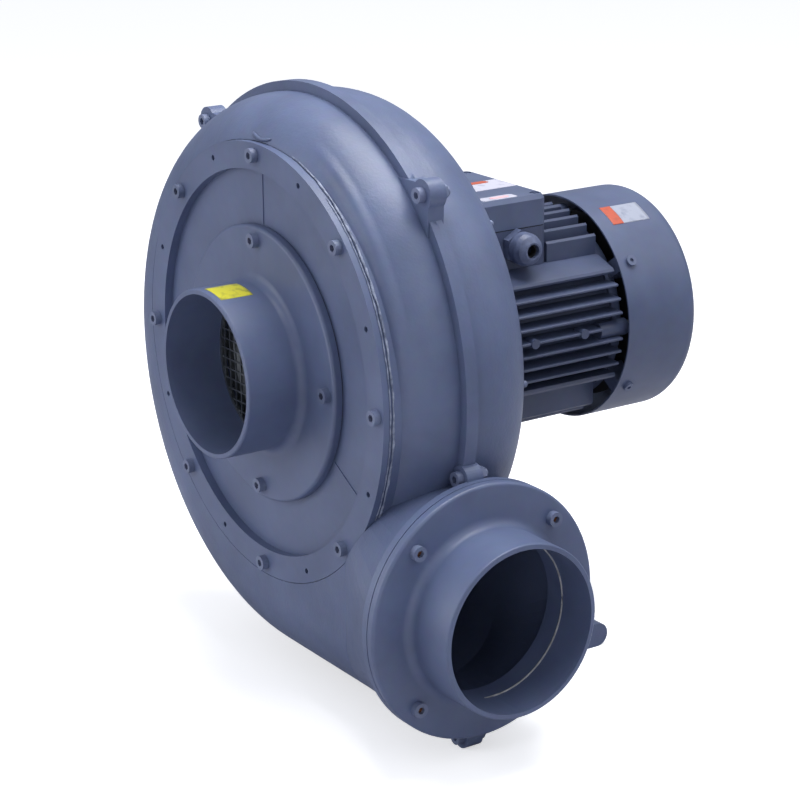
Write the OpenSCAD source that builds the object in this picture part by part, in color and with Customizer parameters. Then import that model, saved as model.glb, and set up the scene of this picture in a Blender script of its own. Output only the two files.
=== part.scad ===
// Centrifugal blower with a cast volute casing in two halves and a flange-mounted electric motor.
// The shaft runs along Y: the inlet faces -Y, the motor stands on +Y and the outlet faces +X.
// The origin is on the floor, in the middle of the four foot holes.

/* [Volute casing] */
// Radius of the scroll wall over its first quarter, from the right side to the top
scroll_r = 228; // [226:1:236]
// Distance of that quarter's centre from the shaft, sideways
scroll_x = -13; // [-16:1:-10]
// Distance of that quarter's centre from the shaft, upwards
scroll_z = 3; // [0:1:6]
// Growth of the scroll radius at the top
grow_top = 20; // [14:1:24]
// Growth of the scroll radius at the left side
grow_left = 14; // [10:1:20]
// Shrink of the scroll radius on the way to the tongue
grow_tongue = 12; // [8:1:14]
// Depth of the casing along the shaft
casing_depth = 160; // [156:1:168]
// Radius of the rounded front shoulder
front_shoulder = 60; // [54:1:62]
// Radius of the rounded rear shoulder
rear_shoulder = 62; // [56:1:64]
// Thickness of the cast wall
wall = 6; // [5:0.5:8]
// Place of the joint between the halves, from the front
seam_y = 70; // [66:1:74]
// Height of the joint flange over the wall
lip_h = 9; // [6:0.5:10]
// Thickness of the joint flange on each half
lip_t = 6; // [5:0.5:7]
// Thickness of a joint bolt's lug on each half
lug_t = 8; // [7.5:0.5:10]
// Distance of the joint bolts outside the wall
lug_out = 17; // [16:0.5:19]
// Radius of the rounded lug around a joint bolt
lug_r = 13; // [11:0.5:14]
// Height of the shaft above the floor
shaft_h = 302; // [300:1:308]

/* [Front cover] */
// Outer radius of the bolted ring
cover_r = 197; // [195:0.5:199]
// Inner radius of the bolted ring
ring_in_r = 173; // [170:0.5:175]
// Thickness of the bolted ring
ring_t = 9; // [8:0.5:10]
// Depth of the recessed disc below the ring face
recess = 8; // [6:0.5:8.5]
// Thickness of the recessed disc
disc_t = 6; // [5:0.5:8]
// Radius of the circle of cover bolts
cover_bolt_r = 186.5; // [185:0.5:188]
// Number of cover bolts
cover_bolts_n = 8; // [6:1:10]
// Thickness of the flat gaskets
gasket_t = 1; // [0.8:0.1:1.5]

/* [Inlet and outlet] */
// Outer radius of the inlet spigot
inlet_r = 75; // [72:0.5:76]
// Wall of both spigots
spigot_wall = 4.5; // [3.5:0.5:6]
// Length of the inlet spigot in front of its flange
inlet_len = 54; // [45:1:70]
// Radius of the inlet flange
inlet_flange_r = 124; // [122:0.5:128]
// Radius of the circle of inlet bolts
inlet_bolt_r = 112; // [108:0.5:114]
// Thickness of both flange plates
flange_t = 8; // [7:0.5:10]
// Fillet between spigot and flange
fillet_r = 8; // [5:0.5:10]
// Outer radius of the outlet spigot
outlet_r = 76; // [72:0.5:78]
// Length of the outlet spigot in front of its flange
outlet_len = 52; // [45:1:70]
// Radius of the outlet flange
outlet_flange_r = 113; // [111:0.5:116]
// Radius of the circle of outlet bolts
outlet_bolt_r = 98; // [96:0.5:99]
// Distance of the outlet flange face from the shaft
outlet_x = 242; // [238:1:260]
// Depth of the outlet axis below the shaft
outlet_drop = 170; // [166:1:174]
// Distance from the shaft at which the neck starts to widen towards the outlet
flare_x = 140; // [120:1:160]
// Pitch of the inlet wire guard
mesh_pitch = 9; // [7:0.5:14]
// Thickness of a guard wire
mesh_wire = 1.4; // [1:0.1:2]

/* [Impeller] */
// Outer radius of the impeller
impeller_r = 170; // [150:1:172]
// Number of blades
blades_n = 10; // [7:1:12]
// Thickness of a blade
blade_t = 3; // [2:0.5:4]
// Radius of the impeller eye
eye_r = 66; // [64:0.5:68]
// Width of the blades at the tip
tip_w = 32; // [24:1:36]
// Thickness of the back plate
back_t = 4; // [3:0.5:5]
// Thickness of the shroud
shroud_t = 2.5; // [2:0.5:3]
// Radius of the shaft in the impeller hub
hub_bore_r = 14; // [12:0.5:14.5]

/* [Motor] */
// Outer radius of the fan cowl
cowl_r = 107; // [105:0.5:112]
// Length of the fan cowl
cowl_len = 84; // [78:1:100]
// Sheet thickness of the cowl
cowl_t = 1.5; // [1:0.1:2]
// Length of the finned frame
frame_len = 145; // [140:1:170]
// Outer radius of the frame's tube
frame_r = 84; // [82:0.5:86]
// Bore radius of the frame
frame_bore_r = 75; // [72:0.5:77]
// Reach of the side fins from the shaft
fin_reach = 103; // [98:0.5:104]
// Distance between side fins
fin_pitch = 13.4; // [12.5:0.1:14]
// Thickness of a fin
fin_t = 3.2; // [2.5:0.1:4]
// Radius of the motor flange
motor_flange_r = 125; // [120:0.5:128]
// Radius of the circle of motor flange bolts
motor_bolt_r = 107.5; // [105:0.5:110]
// Outer radius of the bearings
bearing_r = 36; // [34:0.5:38]
// Width of the bearings
bearing_w = 19; // [16:0.5:22]
// Radius of the shaft in the bearings
journal_r = 15; // [14.5:0.5:17]

/* [Terminal box] */
// Width of the box across the shaft
box_w = 124; // [116:1:128]
// Length of the box along the shaft
box_l = 92; // [86:1:96]
// Height of the joint between base and cover above the shaft
box_split_z = 100; // [96:0.5:104]
// Height of the cover
box_cover_h = 28; // [24:0.5:34]
// Wall of the box
box_wall = 4; // [3:0.5:5]
// Thread radius of the cable gland
gland_r = 12; // [10:0.5:12.5]

/* [Feet] */
// Distance of a foot from the middle
foot_x = 101; // [97:1:106]
// Width of a foot
foot_w = 28; // [24:1:32]
// Height of a foot
foot_h = 23; // [20:1:28]
// End of the feet behind the casing's front
foot_end = 305; // [292:1:320]
// Radius of the holes in the feet
foot_hole_r = 5.5; // [4.5:0.5:6.5]

/* [Hidden] */
$fn = 96;
slack = 0.05;
paint = "#5a6380";
steel = "#9a9ca0";
brass = "#b9974a";
rubber = "#222326";

// Scroll: centres and radii of its quarters, from the tongue round to the bottom
c0 = [scroll_x + grow_tongue, scroll_z];
c1 = [scroll_x, scroll_z];
c2 = [scroll_x, scroll_z - grow_top];
c3 = [scroll_x + grow_left, scroll_z - grow_top];
r0 = scroll_r - grow_tongue;
r1 = scroll_r;
r2 = scroll_r + grow_top;
r3 = r2 + grow_left;
tongue_sweep = 60;
// Each quarter is centre, radius, start angle and sweep, seen from the inlet
quarters = [[c0, r0, -tongue_sweep, tongue_sweep], [c1, r1, 0, 90], [c2, r2, 90, 90], [c3, r3, 180, 90]];
scroll_bottom = c3[1] - r3;
neck_top = -75;
outlet_z = -outlet_drop;
neck_flange_t = 7;
plate_x = outlet_x - flange_t;
neck_x = plate_x - gasket_t - neck_flange_t;
neck_r = outlet_flange_r - 7;
mouth_r = outlet_r + 6;
neck_bore_r = mouth_r + 1.5;

// Front of the casing, from the face of the cover ring at y = 0
seat_y = ring_t + gasket_t;
seat_d = 14;
open_r = cover_bolt_r - 7.5;
disc_y = recess;
inlet_plate_y = disc_y - gasket_t - flange_t;
screw_r = 4;
head_r = 6.5;
head_h = 6;
socket_r = 3.4;
hole_play = 0.5;
edge_r = 3;
rim_r = 1.5;
spare_hole_r = 2.5;
rib_w = 1.5;
rib_h = 0.8;
cover_bore_r = inlet_r + 1;
guard_r = inlet_r - spigot_wall;

// Joint lugs: angle round the scroll, and places on the neck
lug_angles = [44, 132, 188, 240];
neck_lug_x = neck_x - 9;
neck_lug_top_z = outlet_z + neck_r + 7;
neck_lug_r = lug_r - 2;
neck_lug_low_z = -shaft_h + neck_lug_r;
lug_bolt_r = 4;
lug_bolt_len = 2 * lug_t + 10;
nut_r = 7.5;
nut_h = 6.5;

// Motor places along the shaft
wall_y = casing_depth;
shield_flange_t = 12;
frame_y = wall_y + shield_flange_t + 10;
frame_end = frame_y + frame_len;
register_r = 90;
register_h = 4;
seal_r = 30;
hub_boss_t = 14;
bearing1_y = frame_y - 5;
bearing2_y = frame_end - bearing_w + 4;
core_len = 90;
core_y = frame_y + (frame_len - core_len) / 2;
air_gap = 0.5;
motor_screw_r = 6;
seal_y = wall_y - hub_boss_t + 1;
core_shaft_r = journal_r + 4;
slots_n = 24;
slot_w = 5;
slot_l = 18;
winding_l = 15;
ball_r = 6;
ball_path_r = (bearing_r + journal_r) / 2;
tie_r = frame_r + 7;
tie_lug_r = 8;
tie_screw_r = 2.5;
fin_mid_z = 4;
fin_top_z = 97;
pad_z = 44;
pad_gap = 6;
pad_x = 86;
cowl_angles = [34, 146, 214, 326];
cowl_lug_r = cowl_r - cowl_t - 0.3;
cowl_screw_r = 2.5;
grille_pitch = 10;
rotor_r = 44;
shield_t = 12;
cowl_y = frame_end + 4;
cowl_end = cowl_y + cowl_len;
cowl_corner = 12;
fan_y = frame_end + shield_t + 16;
fan_r = cowl_r - 18;
fan_bore_r = 11;
tail_end = fan_y + 30;
cowl_screw_y = cowl_y + 14;

// Impeller places along the shaft
back_y = 96;
tip_y = back_y - tip_w;
eye_y = tip_y - 24;
hub_r = 34;
hub_y = 72;
hub_end = 124;
nose_y = hub_y + 4;
blade_in_r = 78;
rivets_n = 6;
rivet_r = 3;
nose_screw_r = 5;
key_w = 8;
key_h = 7;

// Terminal box
box_y = frame_y - 4;
box_mid_y = box_y + box_l / 2;
box_low_z = 64;
box_corner = 9;
gland_y = box_mid_y + 10;
gland_z = box_split_z - 15;
gland_hex_r = 16.5;
gland_hex_t = 8;
gland_neck_r = 11;
gland_nut_r = 15;
gland_bore_r = 8;
cable_r = 5;
box_screw_r = 2;
board_t = 10;
stud_r = 2.5;

// Feet
foot_y = wall_y + 12;
foot_plate_t = 8;
floor_z = -shaft_h;
foot_holes_y = [foot_y + 26, foot_end - 24];
foot_mid_y = (foot_holes_y[0] + foot_holes_y[1]) / 2;
foot_bolt_places = [[-88, -152], [88, -152], [-48, -186], [48, -186]];
foot_boss_r = 13;
foot_screw_r = 5;
foot_top_z = -136;

// The drawing works round the shaft: this sets the shaft at its height over the foot holes
module place() translate([0, -foot_mid_y, shaft_h]) children();

// A solid turned about the shaft from a profile in radius and y
module turned() rotate([-90, 0, 0]) rotate_extrude() children();
module turned_sector(c, from, sweep)
    translate([c[0], 0, c[1]]) rotate([-90, 0, 0]) rotate_extrude(angle = sweep, start = -from - sweep) children();
// A solid turned about the outlet axis from a profile in radius and x
module turned_x() translate([0, seam_y, outlet_z]) rotate([0, 90, 0]) rotate_extrude() children();
// A plate drawn in x and z, standing from y to y + t
module plate(y, t) translate([0, y + t, 0]) rotate([90, 0, 0]) linear_extrude(t) children();
module rod(y, t, r) translate([0, y, 0]) rotate([-90, 0, 0]) cylinder(h = t, r = r);
module ring(y, t, r_out, r_in) turned() translate([r_in, y]) square([r_out - r_in, t]);
module at_angle(a, r) rotate([0, -a, 0]) translate([r, 0, 0]) children();
module around(n, r, first = 0) for (i = [0:n - 1]) at_angle(first + i * 360 / n, r) children();
// Socket-head screw along +Y with its head's face towards -Y
module cap_screw(y, len, r, hr, hh) {
    difference() {
        union() {
            rod(y - hh, hh, hr);
            rod(y, len, r);
        }
        translate([0, y - hh - 1, 0]) rotate([-90, 0, 0]) cylinder(h = hh * 0.6 + 1, r = r * 0.85, $fn = 6);
    }
}

// Filled casing profile in radius and y, moved inwards by inset, between two planes
module casing_profile(r, inset, y_from, y_to) {
    difference() {
        translate([0, max(inset, y_from)])
            square([r - inset, min(casing_depth - inset, y_to) - max(inset, y_from)]);
        difference() {
            translate([r - front_shoulder, -1]) square([front_shoulder + 1, front_shoulder + 1]);
            translate([r - front_shoulder, front_shoulder]) circle(front_shoulder - inset);
        }
        difference() {
            translate([r - rear_shoulder, casing_depth - rear_shoulder])
                square([rear_shoulder + 1, rear_shoulder + 1]);
            translate([r - rear_shoulder, casing_depth - rear_shoulder]) circle(rear_shoulder - inset);
        }
    }
}
// Neck: a straight run with rounded corners, then a flare to the round mouth
module neck_run(inset, x, len) {
    w = casing_depth - 2 * inset;
    h = neck_top - scroll_bottom - 2 * inset;
    translate([x, casing_depth / 2, (neck_top + scroll_bottom) / 2]) rotate([90, 0, 90])
        linear_extrude(len) rounded_rect(w, h, front_shoulder - inset, $fn = 48);
}
module neck(inset, r_end, x_end) {
    neck_run(inset, c3[0], flare_x - 5 - c3[0]);
    hull() {
        neck_run(inset, flare_x - 5, 5);
        translate([x_end - 0.01, seam_y, outlet_z]) rotate([0, 90, 0]) cylinder(h = 0.01, r = r_end, $fn = 48);
    }
}
module casing_volume(inset, r_end, x_end, y_from, y_to) {
    for (q = quarters)
        turned_sector(q[0], q[2], q[3]) casing_profile(q[1], inset, y_from, y_to);
    rod(max(inset, y_from), min(casing_depth - inset, y_to) - max(inset, y_from), 150);
    intersection() {
        neck(inset, r_end, x_end);
        translate([-10, y_from, -400]) cube([500, y_to - y_from, 400]);
    }
}
// Joint flange round the scroll and along the neck, with thicker lugs
module joint_lip(y, t) {
    for (q = quarters)
        turned_sector(q[0], q[2], q[3]) translate([q[1] - wall, y]) square([wall + lip_h, t]);
    plate(y, t) {
        translate([c3[0], scroll_bottom - lip_h]) square([neck_x - c3[0] + 1, lip_h + wall / 2]);
        polygon([[c3[0] + 150, neck_top - 10], [neck_x + 1, neck_top - 10],
            [neck_x + 1, outlet_z + neck_r + lip_h - 2], [c3[0] + 150, neck_top + lip_h]]);
    }
}
module joint_lugs(y, t) {
    for (a = lug_angles) joint_lug(a, y, t);
    plate(y, t) {
        hull() {
            translate([neck_lug_x, neck_lug_top_z]) circle(neck_lug_r, $fn = 32);
            translate([neck_lug_x - 24, neck_top]) circle(4, $fn = 16);
        }
        translate([neck_lug_x, neck_lug_low_z]) circle(neck_lug_r);
    }
}
// Where a lug's bolt stands: outside the wall of the quarter that its angle falls in
function quarter_of(a) = quarters[1 + floor(a / 90)];
module joint_lug(a, y, t) {
    q = quarter_of(a);
    translate([q[0][0], 0, q[0][1]]) rotate([0, -a, 0]) plate(y, t) {
        translate([q[1] + lug_out, 0]) circle(lug_r);
        polygon([[q[1] - wall, -34], [q[1] + lug_out, -lug_r], [q[1] + lug_out, lug_r], [q[1] - wall, 34]]);
    }
}
module at_lugs() {
    for (a = lug_angles) {
        q = quarter_of(a);
        translate([q[0][0], 0, q[0][1]]) rotate([0, -a, 0]) translate([q[1] + lug_out, 0, 0]) children();
    }
    translate([neck_lug_x, 0, neck_lug_top_z]) children();
    translate([neck_lug_x, 0, neck_lug_low_z]) children();
}
module outlet_holes(r, x, len)
    for (a = [45:90:315])
        translate([x, seam_y + outlet_bolt_r * cos(a), outlet_z + outlet_bolt_r * sin(a)])
            rotate([0, 90, 0]) cylinder(h = len, r = r);
module neck_flange(y_from, y_to) {
    intersection() {
        turned_x() translate([mouth_r, neck_x]) square([outlet_flange_r - mouth_r, neck_flange_t]);
        translate([neck_x - 5, y_from, -400]) cube([60, y_to - y_from, 400]);
    }
}

module front_casing() {
    color(paint) difference() {
        union() {
            difference() {
                casing_volume(0, neck_r, neck_x, -60, seam_y);
                casing_volume(wall, neck_bore_r, neck_x + 1, -60, seam_y + 1);
            }
            difference() {
                union() {
                    joint_lip(seam_y - lip_t, lip_t);
                    joint_lugs(seam_y - lug_t, lug_t);
                }
                casing_volume(wall / 2, mouth_r + 3, neck_x + 1, -60, seam_y + 1);
            }
            ring(seat_y, seat_d, cover_r + 0.5, open_r);
            neck_flange(-60, seam_y);
        }
        rod(-60, seat_y + 60, cover_r + 0.5);
        rod(-60, seat_y + seat_d + 70, open_r);
        around(cover_bolts_n, cover_bolt_r) rod(seat_y - 1, 30, screw_r + 0.1);
        at_lugs() rod(seam_y - 40, 41, lug_bolt_r + 0.3);
        outlet_holes(screw_r + 0.1, neck_x - 6, 20);
    }
}

module rear_casing() {
    color(paint) difference() {
        union() {
            difference() {
                casing_volume(0, neck_r, neck_x, seam_y, 300);
                casing_volume(wall, neck_bore_r, neck_x + 1, seam_y - 1, 300);
            }
            difference() {
                union() {
                    joint_lip(seam_y, lip_t);
                    joint_lugs(seam_y, lug_t);
                }
                casing_volume(wall / 2, mouth_r + 3, neck_x + 1, seam_y - 1, 300);
            }
            rod(wall_y - hub_boss_t, hub_boss_t, motor_flange_r + 3);
            neck_flange(seam_y, 300);
            at_foot_bolts() rod(wall_y - wall / 2, foot_y - wall_y + wall / 2, foot_boss_r);
        }
        rod(wall_y - register_h - 0.5, register_h + 1, register_r + slack);
        rod(wall_y - hub_boss_t - 1, hub_boss_t, seal_r);
        around(4, motor_bolt_r, 45) rod(wall_y - hub_boss_t - 1, hub_boss_t + 2, motor_screw_r + slack);
        at_foot_bolts() rod(wall_y - wall - 1, foot_y - wall_y + wall + 2, foot_screw_r + slack);
        at_lugs() rod(seam_y - 1, 41, lug_bolt_r + 0.3);
        outlet_holes(screw_r + 0.1, neck_x - 6, 20);
    }
}
module casing_bolts() color(steel) at_lugs() cap_screw(seam_y - lug_t, lug_bolt_len, lug_bolt_r, head_r, head_h);
module casing_nuts() {
    color(steel) at_lugs() difference() {
        translate([0, seam_y + lug_t, 0]) rotate([-90, 0, 0]) cylinder(h = nut_h, r = nut_r, $fn = 6);
        rod(seam_y + lug_t - 1, nut_h + 2, lug_bolt_r + slack);
    }
}

// Cover with its bolted ring, the recessed disc and three thin ribs
module front_cover() {
    color(paint) difference() {
        union() {
            ring(0, ring_t, cover_r, ring_in_r);
            ring(disc_y, disc_t, open_r - 0.5, cover_bore_r);
            for (a = [90, 210, 330])
                at_angle(a, inlet_flange_r + 1)
                    translate([0, disc_y - rib_h, -rib_w / 2])
                        cube([ring_in_r - inlet_flange_r, rib_h + 1, rib_w]);
        }
        around(cover_bolts_n, cover_bolt_r) rod(-1, ring_t + disc_t + 5, screw_r + hole_play / 2);
        around(cover_bolts_n, cover_bolt_r, 180 / cover_bolts_n) rod(-1, ring_t - 1, spare_hole_r);
        around(4, inlet_bolt_r) rod(disc_y - 1, disc_t + 2, screw_r + 0.1);
    }
}
module cover_gasket() {
    color(rubber) difference() {
        ring(ring_t, gasket_t, cover_r, open_r);
        around(cover_bolts_n, cover_bolt_r) rod(ring_t - 1, gasket_t + 2, screw_r + hole_play / 2);
    }
}
module cover_bolts() color(steel) around(cover_bolts_n, cover_bolt_r) cap_screw(0, seat_y + 13, screw_r, head_r, head_h);

// What is cut off an outer corner to round it, with the corner's centre at the origin
module corner_cut(r) difference() {
    square([r + 1, r + 1]);
    circle(r);
}
// Round flange with a spigot: radius, and height from the flange's back towards the rim
module spigot_profile(r_out, len, r_flange) {
    difference() {
        union() {
            translate([r_out - spigot_wall, 0]) square([r_flange - r_out + spigot_wall, flange_t]);
            translate([r_out - spigot_wall, 0]) square([spigot_wall, flange_t + len]);
            translate([r_out - 0.5, flange_t - 0.5]) square(fillet_r + 0.5);
        }
        translate([r_out + fillet_r, flange_t + fillet_r]) circle(fillet_r);
        translate([r_flange - edge_r, flange_t - edge_r]) corner_cut(edge_r);
        translate([r_out - rim_r, flange_t + len - rim_r]) corner_cut(rim_r);
    }
}
module inlet_flange() {
    color(paint) difference() {
        translate([0, inlet_plate_y + flange_t, 0]) rotate([90, 0, 0])
            rotate_extrude() spigot_profile(inlet_r, inlet_len, inlet_flange_r);
        around(4, inlet_bolt_r) rod(inlet_plate_y - 1, flange_t + 2, screw_r + hole_play / 2);
    }
}
module inlet_gasket() {
    color(rubber) difference() {
        ring(disc_y - gasket_t, gasket_t, inlet_flange_r - 1, cover_bore_r);
        around(4, inlet_bolt_r) rod(disc_y - gasket_t - 1, gasket_t + 2, screw_r + hole_play / 2);
    }
}
module inlet_bolts() color(steel) around(4, inlet_bolt_r) cap_screw(inlet_plate_y, flange_t + gasket_t + disc_t, screw_r, head_r, head_h);

// Square-mesh wire guard in its rim, set in the bore of the inlet spigot
module inlet_guard() {
    count = floor((guard_r - 3) / mesh_pitch);
    color(steel) union() {
        plate(inlet_plate_y + 2, mesh_wire) intersection() {
            circle(guard_r - 1);
            for (i = [-count:count], turn = [0, 90])
                rotate(turn) translate([i * mesh_pitch - mesh_wire / 2, -guard_r]) square([mesh_wire, 2 * guard_r]);
        }
        ring(inlet_plate_y + 1, 4, guard_r - slack, guard_r - 3);
    }
}
module inlet_cone() {
    back = disc_y + disc_t;
    color(steel) turned() polygon([
        [guard_r, disc_y], [cover_bore_r - slack, disc_y], [cover_bore_r - slack, back],
        [cover_bore_r + 8, back], [cover_bore_r + 8, back + 2.5], [guard_r + 3, back + 2.5],
        [eye_r - 2, eye_y - 9], [eye_r - 2, eye_y - 2], [eye_r - 4.5, eye_y - 2], [eye_r - 4.5, eye_y - 9.5],
        [guard_r, back]]);
}

module outlet_flange() {
    color(paint) difference() {
        translate([plate_x, seam_y, outlet_z]) rotate([0, 90, 0])
            rotate_extrude() spigot_profile(outlet_r, outlet_len, outlet_flange_r);
        outlet_holes(screw_r + hole_play / 2, plate_x - 1, flange_t + 2);
    }
}
module outlet_gasket() {
    color(rubber) difference() {
        turned_x() translate([mouth_r, plate_x - gasket_t]) square([outlet_flange_r - 1 - mouth_r, gasket_t]);
        outlet_holes(screw_r + hole_play / 2, plate_x - gasket_t - 1, gasket_t + 2);
    }
}
module outlet_bolts() {
    color(steel) for (a = [45:90:315])
        translate([outlet_x, seam_y + outlet_bolt_r * cos(a), outlet_z + outlet_bolt_r * sin(a)])
            rotate([0, 0, 90]) cap_screw(0, flange_t + gasket_t + neck_flange_t + 4, screw_r, head_r, head_h);
}

// Impeller
function shroud_y(r) = eye_y + (r - eye_r) * (tip_y - eye_y) / (impeller_r - eye_r);
module impeller_hub() {
    color(steel) difference() {
        turned() polygon([
            [hub_bore_r + slack, hub_y], [hub_r - 8, hub_y], [hub_r, hub_y + 12], [hub_r, back_y + back_t],
            [hub_r + 22, back_y + back_t], [hub_r + 22, back_y + back_t + 7], [hub_r - 2, back_y + back_t + 10],
            [hub_r - 4, hub_end], [hub_bore_r + slack, hub_end]]);
        key_slot(slack, hub_y - 1, hub_end - hub_y + 2);
        around(rivets_n, hub_r + 14) rod(back_y, 20, rivet_r + slack);
    }
}
module impeller_backplate() {
    color(steel) difference() {
        ring(back_y, back_t, impeller_r, hub_r + slack);
        around(rivets_n, hub_r + 14) rod(back_y - 1, back_t + 2, rivet_r + slack);
    }
}
module impeller_rivets() {
    color(steel) around(rivets_n, hub_r + 14) {
        rod(back_y - 3, 3, rivet_r * 1.8);
        rod(back_y - 1, back_t + 9, rivet_r);
    }
}
module blade_outline() {
    arc_c = impeller_r * 0.56;
    arc_r = impeller_r * 0.65;
    intersection() {
        difference() {
            translate([arc_c, 0]) circle(arc_r + blade_t);
            translate([arc_c, 0]) circle(arc_r);
        }
        difference() {
            circle(impeller_r - 0.5);
            circle(blade_in_r);
        }
        translate([-impeller_r, 0]) square([2 * impeller_r, impeller_r]);
    }
}
module impeller_blades() {
    color(steel) for (i = [0:blades_n - 1]) rotate([0, -i * 360 / blades_n, 0]) intersection() {
        plate(eye_y, back_y - eye_y) blade_outline();
        turned() polygon([[blade_in_r - 8, shroud_y(blade_in_r - 8)], [impeller_r, tip_y],
            [impeller_r, back_y], [blade_in_r - 8, back_y]]);
    }
}
module impeller_shroud() {
    neck_y = shroud_y(eye_r + shroud_t) - shroud_t;
    color(steel) turned() polygon([[eye_r, eye_y], [impeller_r, tip_y], [impeller_r, tip_y - shroud_t],
        [eye_r + shroud_t, neck_y], [eye_r + shroud_t, eye_y - 8], [eye_r, eye_y - 8]]);
}
module impeller_washer() color(steel) ring(hub_y - 4, 4, hub_bore_r + 8, nose_screw_r + slack);
module impeller_bolt() color(steel) cap_screw(hub_y - 4, 30, nose_screw_r, 8, 10);
// Room for the key, from the bottom of its slot in the shaft to its top in the hub
module key_slot(play, y, len)
    translate([-key_w / 2 - play, y, hub_bore_r - 4 - play]) cube([key_w + 2 * play, len, key_h + 2 * play]);
module shaft_key() color(steel) key_slot(0, hub_y + 10, hub_end - hub_y - 14);

// Motor
module motor_shaft() {
    back1 = bearing1_y + bearing_w;
    color(steel) difference() {
        turned() polygon([
            [0, nose_y], [hub_bore_r - 1, nose_y], [hub_bore_r, nose_y + 1], [hub_bore_r, wall_y],
            [journal_r, wall_y], [journal_r, back1], [core_shaft_r, back1], [core_shaft_r, bearing2_y],
            [journal_r, bearing2_y], [journal_r, bearing2_y + bearing_w], [fan_bore_r, bearing2_y + bearing_w],
            [fan_bore_r, tail_end], [0, tail_end]]);
        key_slot(slack, hub_y + 10 - slack, hub_end - hub_y - 14 + 2 * slack);
        rod(nose_y - 1, 32, nose_screw_r + slack);
    }
}
module shaft_seal() {
    color(rubber) turned() polygon([
        [hub_bore_r + slack, seal_y], [hub_bore_r + 1, seal_y + 1], [hub_bore_r + 4, seal_y + 1],
        [seal_r - 3, seal_y], [seal_r, seal_y], [seal_r, seal_y + 8], [hub_bore_r + 3, seal_y + 8],
        [hub_bore_r + 3, seal_y + 4], [hub_bore_r + slack, seal_y + 3]]);
}
module drive_end_shield() {
    y1 = wall_y + shield_flange_t;
    color(paint) difference() {
        turned() polygon([
            [journal_r + 2, wall_y - register_h], [register_r, wall_y - register_h], [register_r, wall_y],
            [motor_flange_r, wall_y], [motor_flange_r, y1], [frame_r - 2, y1], [frame_r - 2, frame_y],
            [frame_bore_r - slack, frame_y], [frame_bore_r - slack, frame_y + 6], [frame_bore_r - 8, frame_y + 6],
            [frame_bore_r - 10, frame_y - 4], [bearing_r + 12, frame_y - 6], [bearing_r + 9, bearing1_y + bearing_w],
            [bearing_r, bearing1_y + bearing_w], [bearing_r, bearing1_y], [journal_r + 2, bearing1_y]]);
        around(4, motor_bolt_r, 45) rod(wall_y - 1, shield_flange_t + 12, motor_screw_r + hole_play);
    }
}
module motor_flange_bolts() {
    color(steel) around(4, motor_bolt_r, 45) translate([0, wall_y + shield_flange_t, 0]) mirror([0, 1, 0])
        cap_screw(0, shield_flange_t + hub_boss_t - 2, motor_screw_r, 9, 8);
}
// Deep-groove ball bearing between the shaft and a housing
module bearing_groove(y) turned() translate([ball_path_r, y + bearing_w / 2]) circle(ball_r + 0.1);
module bearing_outer(y) {
    color(steel) difference() {
        ring(y, bearing_w, bearing_r - slack / 2, ball_path_r + ball_r * 0.7);
        bearing_groove(y);
    }
}
module bearing_inner(y) {
    color(steel) difference() {
        ring(y, bearing_w, ball_path_r - ball_r * 0.7, journal_r + slack / 2);
        bearing_groove(y);
    }
}
module bearing_balls(y) color(steel) around(8, ball_path_r) translate([0, y + bearing_w / 2, 0]) sphere(ball_r);
module drive_bearing_outer() bearing_outer(bearing1_y);
module drive_bearing_inner() bearing_inner(bearing1_y);
module drive_bearing_balls() bearing_balls(bearing1_y);
module rear_bearing_outer() bearing_outer(bearing2_y);
module rear_bearing_inner() bearing_inner(bearing2_y);
module rear_bearing_balls() bearing_balls(bearing2_y);

// Cross-section of the finned frame outside its tube
module frame_fins() {
    side_n = floor((pad_z - pad_gap) / fin_pitch);
    for (s = [-1, 1]) {
        for (i = [-side_n:side_n - 1])
            translate([s > 0 ? 0 : -fin_reach, fin_mid_z + i * fin_pitch - fin_t / 2]) square([fin_reach, fin_t]);
        for (i = [-2:2])
            translate([i * fin_pitch * 1.15 - fin_t / 2, s > 0 ? 0 : -fin_top_z]) square([fin_t, fin_top_z]);
        for (m = [0, 1]) mirror([0, m]) mirror([s > 0 ? 0 : 1, 0]) polygon([
            [50, pad_z], [fin_reach, pad_z], [fin_reach, pad_z + 5], [pad_x, pad_z + 20],
            [pad_x, fin_top_z - 12], [pad_x - 4, fin_top_z - 8], [46, fin_top_z - 2], [40, 60]]);
    }
}
module motor_frame() {
    box_end = box_y + box_l;
    color(paint) difference() {
        union() {
            difference() {
                plate(frame_y, frame_len) frame_fins();
                translate([-pad_x - 5, frame_y - 1, box_low_z - 0.2])
                    cube([2 * pad_x + 10, box_end - frame_y + 1 + slack, 60]);
                for (a = [0, 180]) at_angle(a, frame_r)
                    translate([0, frame_end - 22, -fin_pitch * 0.9]) cube([40, 30, fin_pitch * 1.8]);
            }
            rod(frame_y, frame_len, frame_r);
            around(4, tie_r) rod(frame_end - 22, 22, tie_lug_r);
            for (y = [frame_y + 44, frame_y + 100], s = [-1, 1])
                translate([s * (fin_reach - 12), y, fin_mid_z]) rotate([0, s * 90, 0]) cylinder(h = 12.5, r = 4.5);
        }
        rod(frame_y - 1, frame_len + 2, frame_bore_r);
        around(4, tie_r) rod(frame_end - 18, 20, tie_screw_r + slack);
    }
}
module stator_core() {
    color(steel) plate(core_y, core_len) difference() {
        circle(frame_bore_r - slack / 2);
        circle(rotor_r + air_gap);
        for (i = [0:slots_n - 1]) rotate(i * 360 / slots_n) translate([rotor_r + air_gap + 3, -slot_w / 2])
            square([slot_l, slot_w]);
    }
}
module stator_windings() {
    color("#a5622e") for (y = [core_y - winding_l, core_y + core_len])
        ring(y, winding_l, rotor_r + air_gap + 3 + slot_l, rotor_r + air_gap + 4);
}
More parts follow.
